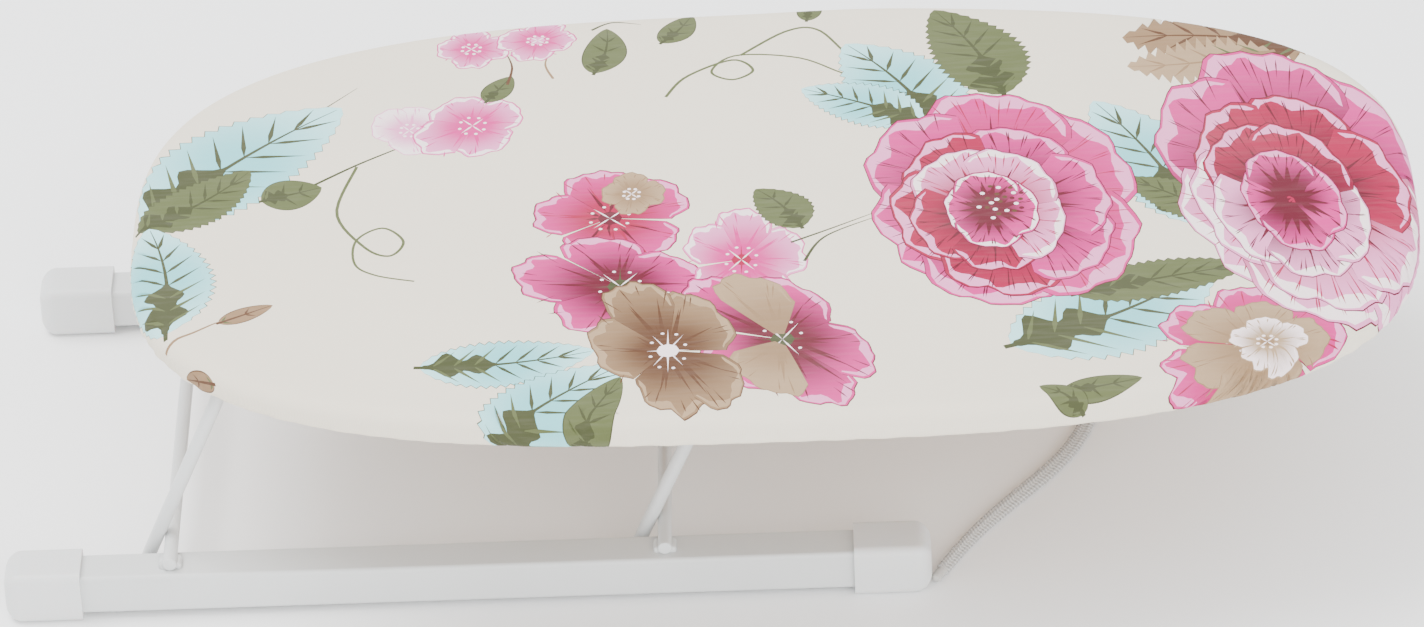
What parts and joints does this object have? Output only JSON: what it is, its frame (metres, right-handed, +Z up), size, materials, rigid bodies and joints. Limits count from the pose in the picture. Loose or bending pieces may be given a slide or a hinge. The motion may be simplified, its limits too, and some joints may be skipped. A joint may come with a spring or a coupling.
{
  "type": "tabletop ironing board",
  "caption": "Tabletop ironing board: padded board with a drawstring cotton cover, folding wire legs and a base of capped square rails joined by cross wires.",
  "frame": {"origin": "on the floor under the middle of the object's length and width, the loose cord left out", "axes": "+X along the board towards its free end, +Y across the board away from the viewer, +Z up, the ironing surface on top"},
  "size_m": [0.661, 0.35, 0.1326],
  "materials": {
    "painted_steel": "white powder coat, fine orange peel",
    "cap_plastic": "moulded white plastic, satin",
    "block_plastic": "moulded white plastic, satin",
    "zinc_screw": "zinc plated",
    "board_panel": "bare fibreboard, sanded",
    "felt_pad": "thick needled felt",
    "printed_cotton": "plain weave cotton with a flower print",
    "cotton_binding": "folded plain cotton",
    "cotton_cord": "flat braided off-white cotton"
  },
  "bodies": {
    "base": {"front_rail": "painted_steel", "back_rail": "painted_steel", "cap_front_left": "cap_plastic", "cap_front_right": "cap_plastic", "cap_back_left": "cap_plastic", "cap_back_right": "cap_plastic", "cross_rod_left": "painted_steel", "cross_rod_right": "painted_steel", "cross_rod_welds": "painted_steel"},
    "left_leg": {"left_leg": "painted_steel"},
    "right_leg": {"right_leg": "painted_steel"},
    "board": {"board_core": "board_panel", "board_pad": "felt_pad", "board_cover": "printed_cotton", "cover_hem": "cotton_binding", "hem_drawcord": "cotton_cord", "drawcord_tail": "cotton_cord", "cord_tip": "cotton_cord", "pivot_block_left_front": "block_plastic", "pivot_block_left_back": "block_plastic", "pivot_block_right_front": "block_plastic", "pivot_block_right_back": "block_plastic", "block_screws": "zinc_screw"}
  },
  "joints": [
    {"name": "left_leg_fold", "type": "hinge", "parent": "base", "child": "left_leg", "pos_m": [-0.26625, 0, 0.013], "axis": [0, -1, 0], "range_deg": [0, 108], "deforming": ["drawcord_tail", "cord_tip"]},
    {"name": "right_leg_fold", "type": "hinge", "parent": "base", "child": "right_leg", "pos_m": [-0.03735, 0, 0.013], "axis": [0, -1, 0], "range_deg": [0, 108]},
    {"name": "board_level", "type": "hinge", "parent": "left_leg", "child": "board", "pos_m": [-0.22391, 0, 0.1081], "axis": [0, 1, 0], "range_deg": [0, 108]}
  ],
  "couplings": [
    {"joint": "right_leg_fold", "follows": "left_leg_fold", "ratio": 1},
    {"joint": "board_level", "follows": "left_leg_fold", "ratio": 1}
  ]
}
